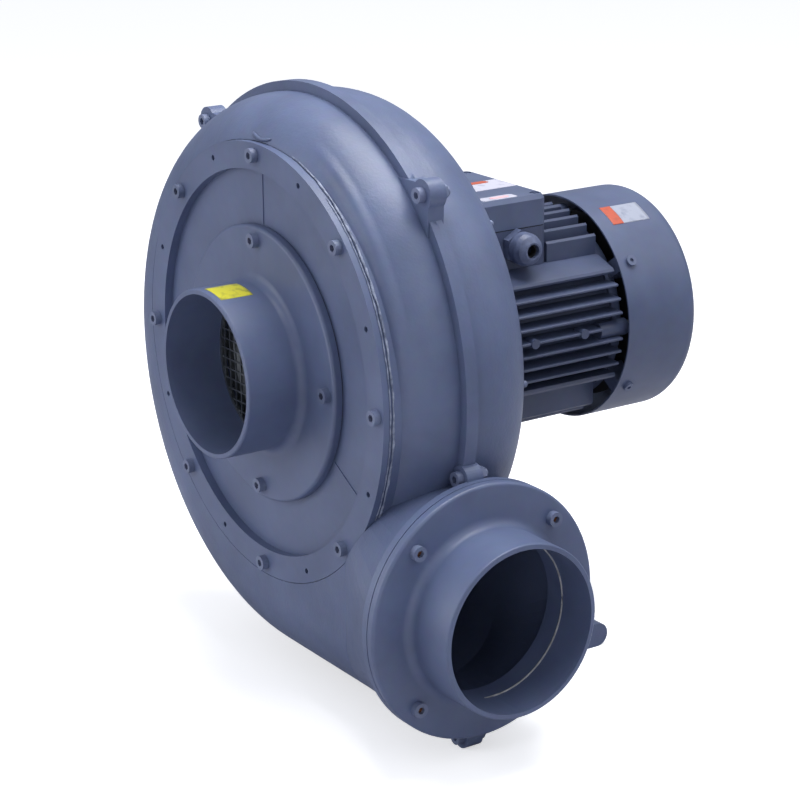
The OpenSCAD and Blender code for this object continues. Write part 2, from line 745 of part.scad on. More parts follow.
module rotor_core() {
    color(steel) {
        ring(core_y, core_len, rotor_r, core_shaft_r + slack / 2);
        for (y = [core_y - 7, core_y + core_len]) ring(y, 7, rotor_r - 1, rotor_r - 14);
    }
}
module rear_end_shield() {
    y1 = frame_end + shield_t;
    back = bearing2_y + bearing_w;
    color(paint) difference() {
        union() {
            turned() polygon([
                [fan_bore_r + 2, back], [bearing_r, back], [bearing_r, bearing2_y], [bearing_r + 9, bearing2_y],
                [bearing_r + 11, frame_end - 1], [frame_bore_r - 9, frame_end - 1], [frame_bore_r - 8, frame_end - 6],
                [frame_bore_r - slack, frame_end - 6], [frame_bore_r - slack, frame_end], [frame_r + 3, frame_end],
                [frame_r + 3, y1 - 3], [frame_r, y1], [fan_bore_r + 2, y1]]);
            around(4, tie_r) rod(frame_end, shield_t - 2, tie_lug_r);
            for (a = cowl_angles) at_angle(a, frame_r - 2)
                translate([0, cowl_y, -7]) cube([cowl_lug_r - frame_r + 2, cowl_screw_y + 6 - cowl_y, 14]);
        }
        around(4, tie_r) rod(frame_end - 1, shield_t + 2, tie_screw_r + 0.25);
        for (a = cowl_angles) at_angle(a, frame_r) translate([0, cowl_screw_y, 0]) rotate([0, 90, 0])
            cylinder(h = 40, r = cowl_screw_r + slack);
    }
}
module end_shield_screws() {
    color(steel) around(4, tie_r) translate([0, frame_end + shield_t - 2, 0]) mirror([0, 1, 0])
        cap_screw(0, shield_t - 2 + 14, tie_screw_r, 5, 5);
}
module cooling_fan() {
    color(rubber) difference() {
        union() {
            ring(fan_y, 3, fan_r, fan_bore_r + 4);
            ring(fan_y - 2, 27, fan_bore_r + 8, fan_bore_r + slack);
            for (i = [0:6]) rotate([0, -i * 360 / 7, 0])
                translate([fan_bore_r + 5, fan_y + 1, -1.2]) cube([fan_r - fan_bore_r - 8, 22, 2.4]);
        }
        rod(fan_y - 5, 60, fan_bore_r + slack);
    }
}
module fan_clip() color(steel) ring(fan_y + 25, 1.5, fan_bore_r + 4, fan_bore_r + slack);
module cowl_profile(inset) difference() {
    translate([0, cowl_y - (inset > 0 ? 1 : 0)])
        square([cowl_r - inset, cowl_len - inset + (inset > 0 ? 1 : 0)]);
    translate([cowl_r - cowl_corner, cowl_end - cowl_corner]) difference() {
        square(cowl_corner + 1);
        circle(cowl_corner - inset);
    }
}
// Rings of slots with four spokes between them
module grille_slots() difference() {
    for (r = [22:grille_pitch:cowl_r - cowl_corner - grille_pitch]) difference() {
        circle(r + grille_pitch * 0.6);
        circle(r);
    }
    for (turn = [45, 135]) rotate(turn) square([2 * cowl_r, 8], center = true);
}
module fan_cowl() {
    color(paint) difference() {
        turned() difference() {
            cowl_profile(0);
            cowl_profile(cowl_t);
        }
        plate(cowl_end - cowl_t - 1, cowl_t + 2) grille_slots();
        for (a = cowl_angles) at_angle(a, cowl_r - 5) translate([0, cowl_screw_y, 0]) rotate([0, 90, 0])
            cylinder(h = 10, r = cowl_screw_r + hole_play / 2);
    }
}
module cowl_screws() {
    color(steel) for (a = cowl_angles) at_angle(a, cowl_r) translate([0, cowl_screw_y, 0]) rotate([0, 0, 90])
        cap_screw(0, 12, cowl_screw_r, 5, 3);
}

// Terminal box on its saddle over the frame
module rounded_rect(w, l, r) {
    translate([-w / 2 + r, -l / 2]) square([w - 2 * r, l]);
    translate([-w / 2, -l / 2 + r]) square([w, l - 2 * r]);
    for (x = [-1, 1], y = [-1, 1]) translate([x * (w / 2 - r), y * (l / 2 - r)]) circle(r);
}
module at_box(z) translate([0, box_mid_y, z]) children();
module at_box_corners() for (x = [-1, 1], y = [-1, 1])
    translate([x * (box_w / 2 - box_corner), y * (box_l / 2 - box_corner), 0]) children();
module box_cavity(w, l) difference() {
    rounded_rect(w - 2 * box_wall, l - 2 * box_wall, box_corner - box_wall);
    at_box_corners() circle(box_screw_r + 3.5);
}
module terminal_box_base() {
    color(paint) difference() {
        at_box(box_low_z) linear_extrude(box_split_z - box_low_z) rounded_rect(box_w, box_l, box_corner);
        rod(box_y - 1, box_l + 2, frame_r + slack);
        difference() {
            at_box(box_low_z - 1) linear_extrude(60) box_cavity(box_w, box_l);
            rod(box_y - 1, box_l + 2, frame_r + box_wall);
        }
        at_box(box_split_z - 20) at_box_corners() cylinder(h = 30, r = box_screw_r + slack);
        at_gland() translate([0, 0, -20]) cylinder(h = 30, r = gland_r + slack);
    }
}
module terminal_box_gasket() {
    color(rubber) at_box(box_split_z) linear_extrude(gasket_t) difference() {
        rounded_rect(box_w - 1, box_l - 1, box_corner);
        box_cavity(box_w, box_l);
        at_box_corners() circle(box_screw_r + 0.25);
    }
}
module terminal_box_cover() {
    z0 = box_split_z + gasket_t;
    color(paint) difference() {
        at_box(z0) hull() at_box_corners() {
            cylinder(h = box_cover_h - 4, r = box_corner, $fn = 32);
            cylinder(h = box_cover_h, r = box_corner - 3, $fn = 32);
        }
        at_box(z0 - 1) linear_extrude(box_cover_h - box_wall + 1) box_cavity(box_w, box_l);
        at_box(z0) at_box_corners() translate([0, 0, -1]) cylinder(h = 60, r = box_screw_r + 0.25);
        at_box(z0 + box_cover_h - 4) at_box_corners() cylinder(h = 10, r = box_screw_r + 2.6);
    }
}
module box_cover_screws() {
    z = box_split_z + gasket_t + box_cover_h - 4;
    color(steel) at_box(z) at_box_corners() rotate([-90, 0, 0]) cap_screw(0, box_cover_h + 10, box_screw_r, box_screw_r + 2.3, 3);
}
module at_studs() for (x = [-1:1], y = [-1, 1]) translate([x * 18, y * 11, 0]) children();
module terminal_board() {
    color("#3b2a22") at_box(frame_r + box_wall) difference() {
        linear_extrude(board_t) rounded_rect(56, 42, 4);
        at_studs() translate([0, 0, -1]) cylinder(h = board_t + 2, r = stud_r + slack);
    }
}
module terminal_studs() {
    color(brass) at_box(frame_r + box_wall + board_t) at_studs() {
        translate([0, 0, -board_t + 1]) cylinder(h = board_t + 14, r = stud_r);
        cylinder(h = 4, r = stud_r * 2, $fn = 6);
    }
}
module at_gland() translate([box_w / 2, gland_y, gland_z]) rotate([0, 90, 0]) children();
module gland_body() {
    color(rubber) at_gland() difference() {
        union() {
            translate([0, 0, -box_wall - 5]) cylinder(h = box_wall + 5, r = gland_r);
            cylinder(h = gland_hex_t, r = gland_hex_r, $fn = 6);
            cylinder(h = gland_hex_t + 9, r = gland_neck_r);
        }
        translate([0, 0, -20]) cylinder(h = 60, r = gland_bore_r);
    }
}
module gland_seal() {
    color(rubber) at_gland() rotate_extrude()
        translate([cable_r, gland_hex_t + 9]) square([gland_neck_r - cable_r, 5]);
}
module gland_nut() {
    z1 = gland_hex_t + 14;
    color(rubber) at_gland() rotate_extrude() polygon([
        [gland_neck_r + slack, gland_hex_t + 1], [gland_nut_r, gland_hex_t + 1], [gland_nut_r, z1 - 5],
        [gland_nut_r - 2, z1], [gland_nut_r - 7, z1 + 4], [cable_r + 1.5, z1 + 4], [cable_r + 1.5, z1],
        [gland_neck_r + slack, z1]]);
}

// Foot bracket under the motor, bolted to bosses on the back of the casing
module at_foot_bolts() for (p = foot_bolt_places) translate([p[0], 0, p[1]]) children();
module support_foot() {
    half = foot_x + foot_w / 2;
    color(paint) difference() {
        union() {
            plate(foot_y, foot_plate_t) difference() {
                polygon([[-half, floor_z], [half, floor_z], [half, foot_top_z - 50], [108, foot_top_z],
                    [-108, foot_top_z], [-half, foot_top_z - 50]]);
                translate([0, floor_z + foot_h + 40]) circle(30);
            }
            for (s = [-1, 1]) {
                translate([s * foot_x - foot_w / 2, 0, 0]) rotate([90, 0, 90]) linear_extrude(foot_w) {
                    translate([foot_y, floor_z]) square([foot_end - foot_h / 2 - foot_y, foot_h]);
                    translate([foot_end - foot_h / 2, floor_z + foot_h / 2]) circle(foot_h / 2);
                }
                translate([s * (foot_x - foot_w / 2 + 3) - 3, 0, 0]) rotate([90, 0, 90]) linear_extrude(6) polygon([
                    [foot_y, floor_z + foot_h - 1], [foot_holes_y[1] - 14, floor_z + foot_h - 1],
                    [foot_y + foot_plate_t, foot_top_z - 40], [foot_y, foot_top_z - 40]]);
            }
        }
        at_foot_bolts() rod(foot_y - 1, foot_plate_t + 2, foot_screw_r + hole_play / 2);
        for (s = [-1, 1], y = foot_holes_y) translate([s * foot_x, y, floor_z - 1]) cylinder(h = foot_h + 2, r = foot_hole_r);
    }
}
module foot_bolts() {
    color(steel) at_foot_bolts() translate([0, foot_y + foot_plate_t, 0]) mirror([0, 1, 0])
        cap_screw(0, foot_plate_t + foot_y - wall_y + 4, foot_screw_r, 8, 8);
}

place() front_casing();
place() rear_casing();
place() casing_bolts();
place() casing_nuts();
place() front_cover();
place() cover_gasket();
place() cover_bolts();
place() inlet_flange();
place() inlet_gasket();
place() inlet_bolts();
place() inlet_guard();
place() inlet_cone();
place() outlet_flange();
place() outlet_gasket();
place() outlet_bolts();
place() impeller_hub();
place() impeller_backplate();
place() impeller_blades();
place() impeller_shroud();
place() impeller_rivets();
place() impeller_washer();
place() impeller_bolt();
place() shaft_key();
place() motor_shaft();
place() shaft_seal();
place() drive_end_shield();
place() motor_flange_bolts();
place() drive_bearing_outer();
place() drive_bearing_inner();
place() drive_bearing_balls();
place() rear_bearing_outer();
place() rear_bearing_inner();
place() rear_bearing_balls();
place() motor_frame();
place() stator_core();
place() stator_windings();
place() rotor_core();
place() rear_end_shield();
place() end_shield_screws();
place() cooling_fan();
place() fan_clip();
place() fan_cowl();
place() cowl_screws();
place() terminal_box_base();
place() terminal_box_gasket();
place() terminal_box_cover();
place() box_cover_screws();
place() terminal_board();
place() terminal_studs();
place() gland_body();
place() gland_seal();
place() gland_nut();
place() support_foot();
place() foot_bolts();
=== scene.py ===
"""Finishes of a painted centrifugal blower: cast casing, flange motor, seals, labels and a plain studio."""
import math
import random

import bmesh
import bpy
from mathutils import Matrix, Vector


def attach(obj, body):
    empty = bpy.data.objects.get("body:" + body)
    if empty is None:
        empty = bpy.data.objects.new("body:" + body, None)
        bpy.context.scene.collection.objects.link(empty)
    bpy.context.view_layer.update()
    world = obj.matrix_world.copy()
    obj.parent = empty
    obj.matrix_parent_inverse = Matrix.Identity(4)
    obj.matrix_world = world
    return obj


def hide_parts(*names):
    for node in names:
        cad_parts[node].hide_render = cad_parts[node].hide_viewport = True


bl_info = {
    "name": "Centrifugal Blower Finishes",
    "version": (1, 0, 0),
    "blender": (4, 5, 0),
    "location": "3D Viewport > Sidebar > Blower",
    "description": "Paint, fasteners, seals and labels of a centrifugal blower with its flange motor",
    "category": "Object",
}

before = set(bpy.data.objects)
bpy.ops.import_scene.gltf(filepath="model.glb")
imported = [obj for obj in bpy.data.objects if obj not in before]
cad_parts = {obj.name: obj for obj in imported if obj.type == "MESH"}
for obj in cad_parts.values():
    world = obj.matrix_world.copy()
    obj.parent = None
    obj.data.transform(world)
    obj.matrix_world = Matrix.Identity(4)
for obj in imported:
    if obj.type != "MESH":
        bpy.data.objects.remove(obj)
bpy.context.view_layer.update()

# All sizes are in metres. In the row frame the casing's front face is at SHAFT_Y and the shaft's axis at SHAFT_Z;
# places are given sideways from the shaft (x), behind the front face (y) and above the shaft (z)
SHAFT_Y = -0.2395
SHAFT_Z = 0.302
INLET_R = 0.075
COWL_R = 0.107
RING_R = 0.197
# Height of the terminal box's roof over the shaft
ROOF_Z = 0.129
# The outlet's flange face and its axis
OUTLET_X = 0.242
OUTLET_Y = 0.070
OUTLET_Z = -0.170
# Circles of the screws in the cover's ring, the inlet flange and the outlet flange, and of the studs in the back wall
RING_SCREWS_R = 0.1865
INLET_SCREWS_R = 0.112
OUTLET_SCREWS_R = 0.098
STUDS_R = 0.183
# Rust in a screw's socket: its height over the head's seat, and its radius. The head is 6 mm high, the socket 3.6 deep
SOCKET_FLOOR = 0.0023
SOCKET_R = 0.0033
# The inlet flange's screws sit this far before the casing's front face
INLET_SEAT = 0.001
# Front shoulder over the ring: centre of the scroll's first quarter, the round's radius and the circle it runs on
SCROLL_X = -0.013
SCROLL_Z = 0.003
SHOULDER_R = 0.060
SHOULDER_AT = 0.168
# The motor frame's tube, its two ends and the terminal box's back
TUBE_R = 0.084
BORE_R = 0.075
FRAME_FIRST = 0.182
FRAME_LAST = 0.327
BEHIND_BOX = 0.2705
# Its level fins: how many on each side of the middle one, that one's height, their pitch, thickness, root and reach
FINS_EACH_WAY = 3
FIN_MIDDLE = 0.004
FIN_PITCH = 0.0123
FIN_THICK = 0.0032
FIN_ROOT = 0.078
FIN_REACH = 0.103
# Its upright fins: places beside the shaft, root and reach; the one at the box's edge is thicker
UPRIGHT_FINS_X = (0.0064, 0.0193, 0.0321, 0.0450, 0.0578)
UPRIGHT_ROOT = 0.055
UPRIGHT_REACH = 0.101
EDGE_FIN_THICK = 0.0044
# Labels: thickness of the film and of the glue under it, and how far a second film lies over the first
FILM_THICK = 0.00015
GLUE = 0.00004
SECOND_FILM = 0.0002
# Edges sharper than this stay sharp on pieces that are otherwise smooth
SHARP = math.radians(35)


def linear(code):
    """Linear colour of an sRGB hex code such as 5f6a86."""
    parts = [int(code[i:i + 2], 16) / 255 for i in (0, 2, 4)]
    return [c / 12.92 if c <= 0.04045 else ((c + 0.055) / 1.055) ** 2.4 for c in parts] + [1.0]


def at_shaft(radius, angle, y):
    """A point from its distance to the shaft, its angle seen from the inlet and its depth behind the front face."""
    a = math.radians(angle)
    return Vector((radius * math.cos(a), SHAFT_Y + y, SHAFT_Z + radius * math.sin(a)))


def at_outlet(radius, angle, x):
    """A point from its distance to the outlet's axis, its angle from the back and its place along that axis."""
    a = math.radians(angle)
    return Vector((x, SHAFT_Y + OUTLET_Y + radius * math.cos(a), SHAFT_Z + OUTLET_Z + radius * math.sin(a)))


def add(tree, kind, inputs=None, **settings):
    """Adds a node; inputs maps sockets to values or to the output sockets that feed them."""
    node = tree.nodes.new(kind)
    for key, value in settings.items():
        setattr(node, key, value)
    for key, value in (inputs or {}).items():
        if isinstance(value, bpy.types.NodeSocket):
            tree.links.new(value, node.inputs[key])
        else:
            node.inputs[key].default_value = value
    return node


def per_mm(size):
    """Pattern scale for a feature of this size in millimetres, on coordinates in metres."""
    return 1000 / size


def new_material(name):
    """An empty material, its tree and the object's own coordinates in metres."""
    mat = bpy.data.materials.new(name)
    mat.use_nodes = True
    tree = mat.node_tree
    tree.nodes.clear()
    place = add(tree, "ShaderNodeTexCoord").outputs["Object"]
    return mat, tree, place


def close(tree, shader):
    add(tree, "ShaderNodeOutputMaterial", {"Surface": shader})


def two_tone(tree, place, size, low, high, start=0.35, end=0.7, detail=3.0):
    """A mottled colour between two hex codes, with patches of a size in millimetres."""
    noise = add(tree, "ShaderNodeTexNoise", {"Vector": place, "Scale": per_mm(size), "Detail": detail})
    ramp = add(tree, "ShaderNodeValToRGB", {"Fac": noise.outputs["Fac"]})
    ramp.color_ramp.elements[0].position, ramp.color_ramp.elements[1].position = start, end
    ramp.color_ramp.elements[0].color, ramp.color_ramp.elements[1].color = linear(low), linear(high)
    return ramp.outputs["Color"]


def sprayed_enamel(name, low, high, roughness, peel_mm, casting_mm, casting_depth, peel_depth=0.00012):
    """Alkyd enamel sprayed on metal: satin, with an orange-peel skin over the softer waves of a sand casting."""
    mat, tree, place = new_material(name)
    colour = two_tone(tree, place, 70, low, high)
    # Dust and handling marks lighten small patches a little
    dust = add(tree, "ShaderNodeTexNoise", {"Vector": place, "Scale": per_mm(9), "Detail": 5.0})
    faded = add(tree, "ShaderNodeMix", {"Factor": 0.12, 6: colour, 7: dust.outputs["Color"]},
                data_type="RGBA", blend_type="SOFT_LIGHT")
    # The skin of sprayed paint, drawn as coarse as it needs to show, and the casting under it
    peel = add(tree, "ShaderNodeTexNoise", {"Vector": place, "Scale": per_mm(peel_mm), "Detail": 2.0})
    waves = add(tree, "ShaderNodeTexNoise", {"Vector": place, "Scale": per_mm(casting_mm), "Detail": 3.0})
    skin = add(tree, "ShaderNodeBump", {"Height": peel.outputs["Fac"], "Distance": peel_depth, "Strength": 0.35})
    cast = add(tree, "ShaderNodeBump", {"Height": waves.outputs["Fac"], "Distance": casting_depth,
                                        "Strength": 0.5, "Normal": skin.outputs["Normal"]})
    gloss = add(tree, "ShaderNodeMapRange", {"Value": waves.outputs["Fac"], "To Min": roughness - 0.05,
                                             "To Max": roughness + 0.09})
    shader = add(tree, "ShaderNodeBsdfPrincipled", {"Base Color": faded.outputs[2], "IOR": 1.5,
                                                    "Roughness": gloss.outputs["Result"],
                                                    "Normal": cast.outputs["Normal"]})
    close(tree, shader.outputs["BSDF"])
    return mat


def worked_metal(name, low, high, roughness, grain_mm, stretch):
    """Bare metal whose grain runs one way, as turning, drawing or zinc plating leaves it."""
    mat, tree, place = new_material(name)
    colour = two_tone(tree, place, 12, low, high)
    along = add(tree, "ShaderNodeMapping", {"Vector": place, "Scale": stretch})
    grain = add(tree, "ShaderNodeTexNoise", {"Vector": along.outputs["Vector"], "Scale": per_mm(grain_mm),
                                             "Detail": 3.0})
    gloss = add(tree, "ShaderNodeMapRange", {"Value": grain.outputs["Fac"], "To Min": roughness - 0.08,
                                             "To Max": roughness + 0.12})
    bump = add(tree, "ShaderNodeBump", {"Height": grain.outputs["Fac"], "Distance": 0.00005, "Strength": 0.3})
    shader = add(tree, "ShaderNodeBsdfPrincipled", {"Base Color": colour, "Metallic": 1.0,
                                                    "Roughness": gloss.outputs["Result"],
                                                    "Normal": bump.outputs["Normal"]})
    close(tree, shader.outputs["BSDF"])
    return mat


def moulded(name, low, high, roughness, grain_mm, depth):
    """Rubber, fibre sheet or moulded plastic: dull, with a fine even grain."""
    mat, tree, place = new_material(name)
    colour = two_tone(tree, place, 6, low, high)
    grain = add(tree, "ShaderNodeTexVoronoi", {"Vector": place, "Scale": per_mm(grain_mm)})
    bump = add(tree, "ShaderNodeBump", {"Height": grain.outputs["Distance"], "Distance": depth, "Strength": 0.4})
    shader = add(tree, "ShaderNodeBsdfPrincipled", {"Base Color": colour, "Roughness": roughness, "IOR": 1.5,
                                                    "Normal": bump.outputs["Normal"]})
    close(tree, shader.outputs["BSDF"])
    return mat


def rusted_socket(name, rust, dark):
    """Mild steel where the key has broken the paint: brown rust over a dark hollow."""
    mat, tree, place = new_material(name)
    colour = two_tone(tree, place, 1.6, dark, rust, 0.3, 0.62, 6.0)
    pits = add(tree, "ShaderNodeTexNoise", {"Vector": place, "Scale": per_mm(0.7), "Detail": 4.0})
    bump = add(tree, "ShaderNodeBump", {"Height": pits.outputs["Fac"], "Distance": 0.0002, "Strength": 0.8})
    shader = add(tree, "ShaderNodeBsdfPrincipled", {"Base Color": colour, "Roughness": 0.85,
                                                    "Normal": bump.outputs["Normal"]})
    close(tree, shader.outputs["BSDF"])
    return mat


def printed_film(name, ground, worn, roughness):
    """Glossy vinyl film, a little soiled, with no print on it."""
    mat, tree, place = new_material(name)
    colour = two_tone(tree, place, 7, worn, ground, 0.28, 0.5, 4.0)
    creases = add(tree, "ShaderNodeTexNoise", {"Vector": place, "Scale": per_mm(11), "Detail": 2.0})
    bump = add(tree, "ShaderNodeBump", {"Height": creases.outputs["Fac"], "Distance": 0.0002, "Strength": 0.3})
    shader = add(tree, "ShaderNodeBsdfPrincipled", {"Base Color": colour, "Roughness": roughness, "IOR": 1.46,
                                                    "Normal": bump.outputs["Normal"]})
    close(tree, shader.outputs["BSDF"])
    return mat


def dress(nodes, mat):
    """Gives CAD nodes a finish."""
    for name in nodes:
        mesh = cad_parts[name].data
        mesh.materials.clear()
        mesh.materials.append(mat)
        for face in mesh.polygons:
            face.material_index = 0


def new_piece(name, bm, mat, body="housing", smooth=True):
    """A separate piece from a bmesh, with its finish and the body that carries it."""
    mesh = bpy.data.meshes.new(name)
    bmesh.ops.recalc_face_normals(bm, faces=bm.faces)
    bm.to_mesh(mesh)
    bm.free()
    mesh.materials.append(mat)
    if smooth:
        mesh.shade_smooth()
    obj = bpy.data.objects.new(name, mesh)
    bpy.context.scene.collection.objects.link(obj)
    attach(obj, body)
    return obj


def skin(bm, rings):
    """Faces between each ring of points and the next."""
    sides = len(rings[0])
    for a, b in zip(rings, rings[1:]):
        for i in range(sides):
            bm.faces.new((a[i], a[(i + 1) % sides], b[(i + 1) % sides], b[i]))


def rod(bm, rings):
    """A closed bar through rings of points."""
    skin(bm, rings)
    bm.faces.new(rings[0])
    bm.faces.new(list(reversed(rings[-1])))


def slab(bm, layers):
    """A closed sheet from two layers of rows of points, one over the other."""
    along, across = len(layers[0]) - 1, len(layers[0][0]) - 1
    for rows in layers:
        for j in range(along):
            for i in range(across):
                bm.faces.new((rows[j][i], rows[j][i + 1], rows[j + 1][i + 1], rows[j + 1][i]))
    rim = [(0, i) for i in range(across)] + [(j, across) for j in range(along)]
    rim += [(along, i) for i in range(across, 0, -1)] + [(j, 0) for j in range(along, 0, -1)]
    for (j, i), (m, n) in zip(rim, rim[1:] + rim[:1]):
        bm.faces.new((layers[0][j][i], layers[0][m][n], layers[1][m][n], layers[1][j][i]))


def cylinder(bm, place, axis, turn, radius, depth, segments, end=None):
    """A solid cylinder about a place, turned by an angle about an axis; with an end radius it is a cone."""
    bmesh.ops.create_cone(bm, cap_ends=True, segments=segments, radius1=radius, radius2=radius if end is None else end,
                          depth=depth, matrix=Matrix.Translation(place) @ Matrix.Rotation(turn, 4, axis))


def curved_film(name, radius, angles, depths, mat):
    """A label wrapped on a cylinder about the shaft."""
    bm = bmesh.new()
    across, along = 24, 12
    grid = []
    for layer in (0.0, FILM_THICK):
        rows = []
        for j in range(along + 1):
            v = j / along
            row = []
            for i in range(across + 1):
                u = i / across
                angle = angles[0] + (angles[1] - angles[0]) * u
                y = depths[0] + (depths[1] - depths[0]) * v
                row.append(bm.verts.new(at_shaft(radius + GLUE + layer, angle, y)))
            rows.append(row)
        grid.append(rows)
    slab(bm, grid)
    new_piece(name, bm, mat)


def roof_place(x, y, lift=0.0):
    """A place on the terminal box's flat roof, sideways from the shaft and behind the front face."""
    return Matrix.Translation((x, SHAFT_Y + y, SHAFT_Z + ROOF_Z + lift))


def flat_film(name, place, size, mat):
    """A flat label with rounded corners, from its middle and its size."""
    bm = bmesh.new()
    bmesh.ops.create_cube(bm, size=1.0)
    bmesh.ops.scale(bm, vec=(size[0], size[1], FILM_THICK), verts=bm.verts)
    upright = [e for e in bm.edges if abs(e.verts[0].co.z - e.verts[1].co.z) > FILM_THICK / 2]
    bmesh.ops.bevel(bm, geom=upright, offset=0.0015, segments=4, affect="EDGES")
    bm.transform(place @ Matrix.Translation((0, 0, FILM_THICK / 2 + GLUE)))
    new_piece(name, bm, mat, smooth=False)


def squeezed_bead(name, radius, y, angles, thick, seed, mat):
    """Sealant pressed out of a round joint: a rope whose thickness and height wander."""
    rng = random.Random(seed)
    first, last = angles
    bm = bmesh.new()
    steps = int(abs(last - first) * 2)
    sides = 8
    swell = [rng.uniform(0.35, 1.0) for _ in range(steps + 1)]
    drift = [rng.uniform(-1.0, 1.0) for _ in range(steps + 1)]
    rings = []
    for i in range(steps + 1):
        near = [max(0, min(steps, i + d)) for d in (-2, -1, 0, 1, 2)]
        size = thick * sum(swell[n] for n in near) / 5
        size *= min(1.0, 0.15 + min(i, steps - i) / 6)
        lean = thick * 0.5 * sum(drift[n] for n in near) / 5
        angle = first + (last - first) * i / steps
        ring = []
        for s in range(sides):
            t = 2 * math.pi * s / sides
            ring.append(bm.verts.new(at_shaft(radius + size * 0.8 * math.cos(t), angle,
                                              y + lean + size * math.sin(t))))
        rings.append(ring)
    rod(bm, rings)
    new_piece(name, bm, mat)


def socket_disc(bm, centre, direction):
    """A hexagonal floor for a screw's socket, a hair above the metal."""
    turn = Vector((0, 0, 1)).rotation_difference(Vector(direction)).to_matrix().to_4x4()
    bmesh.ops.create_cone(bm, cap_ends=True, segments=6, radius1=SOCKET_R, radius2=SOCKET_R, depth=0.0003,
                          matrix=Matrix.Translation(Vector(centre)) @ turn)


def shoulder_point(angle, round_angle, lift=0.0):
    """A point on the front shoulder: its angle about the scroll's first centre, and along the round from the front."""
    a, t = math.radians(angle), math.radians(round_angle)
    radius = SHOULDER_AT + (SHOULDER_R + lift) * math.sin(t)
    depth = SHOULDER_R - (SHOULDER_R + lift) * math.cos(t)
    return Vector((SCROLL_X + radius * math.cos(a), SHAFT_Y + depth, SHAFT_Z + SCROLL_Z + radius * math.sin(a)))


def shoulder_crest(name, middle, spread, height, mat):
    """A long low swelling on the front shoulder, from the upper right to level with the shaft."""
    bm = bmesh.new()
    along, across, first, sunk, gap = 72, 16, 74.0, 0.0008, 0.00003
    layers = []
    for base in (True, False):
        rows = []
        for i in range(along + 1):
            angle = first - first * i / along
            fade = math.sin(math.pi * min(1.0, min(i, along - i) / (0.25 * along)) / 2) ** 2
            row = []
            for j in range(across + 1):
                side = 2 * j / across - 1
                lift = -sunk if base else gap + height * fade * math.cos(math.pi * side / 2) ** 2
                row.append(bm.verts.new(shoulder_point(angle, middle + spread * side, lift)))
            rows.append(row)
        layers.append(rows)
    slab(bm, layers)
    new_piece(name, bm, mat).data.set_sharp_from_angle(angle=SHARP)


def bead_along(name, points, radius, mat):
    """A thin rope through points, tapering at both ends."""
    bm = bmesh.new()
    sides, last = 8, len(points) - 1
    rings = []
    for i, point in enumerate(points):
        turn = (points[min(i + 1, last)] - points[max(i - 1, 0)]).to_track_quat("Z", "Y")
        size = radius * min(1.0, 0.35 + min(i, last - i) / 3)
        angles = [2 * math.pi * s / sides for s in range(sides)]
        rings.append([bm.verts.new(point + turn @ Vector((size * math.cos(t), size * math.sin(t), 0)))
                      for t in angles])
    rod(bm, rings)
    new_piece(name, bm, mat)


def prism(bm, outline, first, last):
    """A bar along the shaft from an outline of places beside and above it."""
    rod(bm, [[bm.verts.new((x, SHAFT_Y + y, SHAFT_Z + z)) for x, z in outline] for y in (first, last)])


def pipe(bm, outer, inner, first, last):
    """A tube about the shaft."""
    sides = 96
    rings = []
    for radius, y in ((outer, first), (outer, last), (inner, last), (inner, first)):
        rings.append([bm.verts.new(at_shaft(radius, 360 * i / sides, y)) for i in range(sides)])
    skin(bm, rings + rings[:1])


def fin(place, tip, side):
    """Outline of a level fin with draft and a rounded tip, from its height, its reach and its side."""
    half = FIN_THICK / 2
    wide, narrow = half * 1.5, half * 0.9
    outline = [(FIN_ROOT, place - wide), (tip - half, place - narrow)]
    for degrees in (30, 60, 90, 120, 150):
        t = math.radians(degrees)
        outline.append((tip - half + half * math.sin(t), place - narrow * math.cos(t)))
    outline += [(tip - half, place + narrow), (FIN_ROOT, place + wide)]
    return [(side * a, b) for a, b in outline]


def hex_colour(name, description, default):
    return bpy.props.StringProperty(name=name, description=description + ", as sRGB hex", default=default)


class BlowerColours(bpy.types.PropertyGroup):
    """Colours that a user would change"""
    casing_dark: hex_colour("Casing paint, dark", "Darker tone of the casing's enamel", "545f7e")
    casing_light: hex_colour("Casing paint, light", "Lighter tone of the casing's enamel", "5f6b8c")
    motor_dark: hex_colour("Motor paint, dark", "Darker tone of the motor's enamel", "3f4862")
    motor_light: hex_colour("Motor paint, light", "Lighter tone of the motor's enamel", "4a536f")
    sheet_dark: hex_colour("Cowl paint, dark", "Darker tone of the cowl's and the box cover's enamel", "4e5875")
    sheet_light: hex_colour("Cowl paint, light", "Lighter tone of the cowl's and the box cover's enamel", "596482")
    sticker: hex_colour("Inlet sticker", "Colour of the film on the inlet spigot", "d8d23c")


class BlowerSizes(bpy.types.PropertyGroup):
    """Sizes that a user would change"""
    bead: bpy.props.FloatProperty(
        name="Sealant bead", description="Greatest radius of the sealant squeezed from the cover's joint",
        default=0.0016, min=0.0, max=0.004, subtype="DISTANCE")
    paint_gloss: bpy.props.FloatProperty(
        name="Paint roughness", description="Mean roughness of the enamel",
        default=0.4, min=0.1, max=0.9, subtype="FACTOR")


